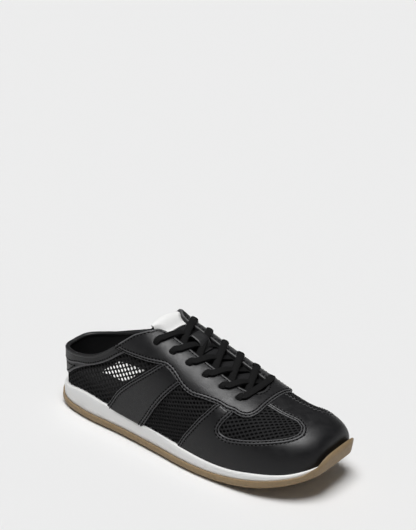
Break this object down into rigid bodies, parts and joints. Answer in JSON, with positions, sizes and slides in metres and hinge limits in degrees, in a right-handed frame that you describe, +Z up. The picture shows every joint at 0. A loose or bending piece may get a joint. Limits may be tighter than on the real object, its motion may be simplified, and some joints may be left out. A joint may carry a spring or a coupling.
{
  "type": "laced sneaker mule, right foot",
  "caption": "Right-foot sneaker mule: backless low upper of leather overlays on coarse mesh, flat laces, white midsole and gum rubber outsole.",
  "frame": {"origin": "centre of the bounding box of the sole in plan, on the ground plane under the flat of the sole", "axes": "+X along the shoe from heel to toe, +Y to the inner (medial) side of the foot, +Z up"},
  "size_m": [0.27, 0.0888, 0.1125],
  "materials": {
    "gum_rubber": "satin",
    "white_foam": "matte",
    "lining": "matte",
    "coarse_mesh": "matte",
    "smooth_leather": "satin",
    "tongue_cloth": "matte",
    "white_label": "matte",
    "lace": "matte"
  },
  "bodies": {
    "root": {"outsole": "gum_rubber", "midsole": "white_foam", "insole": "lining", "upper": "coarse_mesh", "toe_cap": "smooth_leather", "side_band_lateral": "smooth_leather", "side_band_medial": "smooth_leather", "eyestay": "smooth_leather", "collar_band": "smooth_leather", "heel_patch": "smooth_leather", "tongue": "tongue_cloth", "tongue_label": "white_label", "lace_keeper": "smooth_leather", "lace_crossing_1": "lace", "lace_crossing_2": "lace", "lace_crossing_3": "lace", "lace_crossing_4": "lace", "lace_crossing_5": "lace", "lace_bar": "lace"}
  },
  "joints": []
}
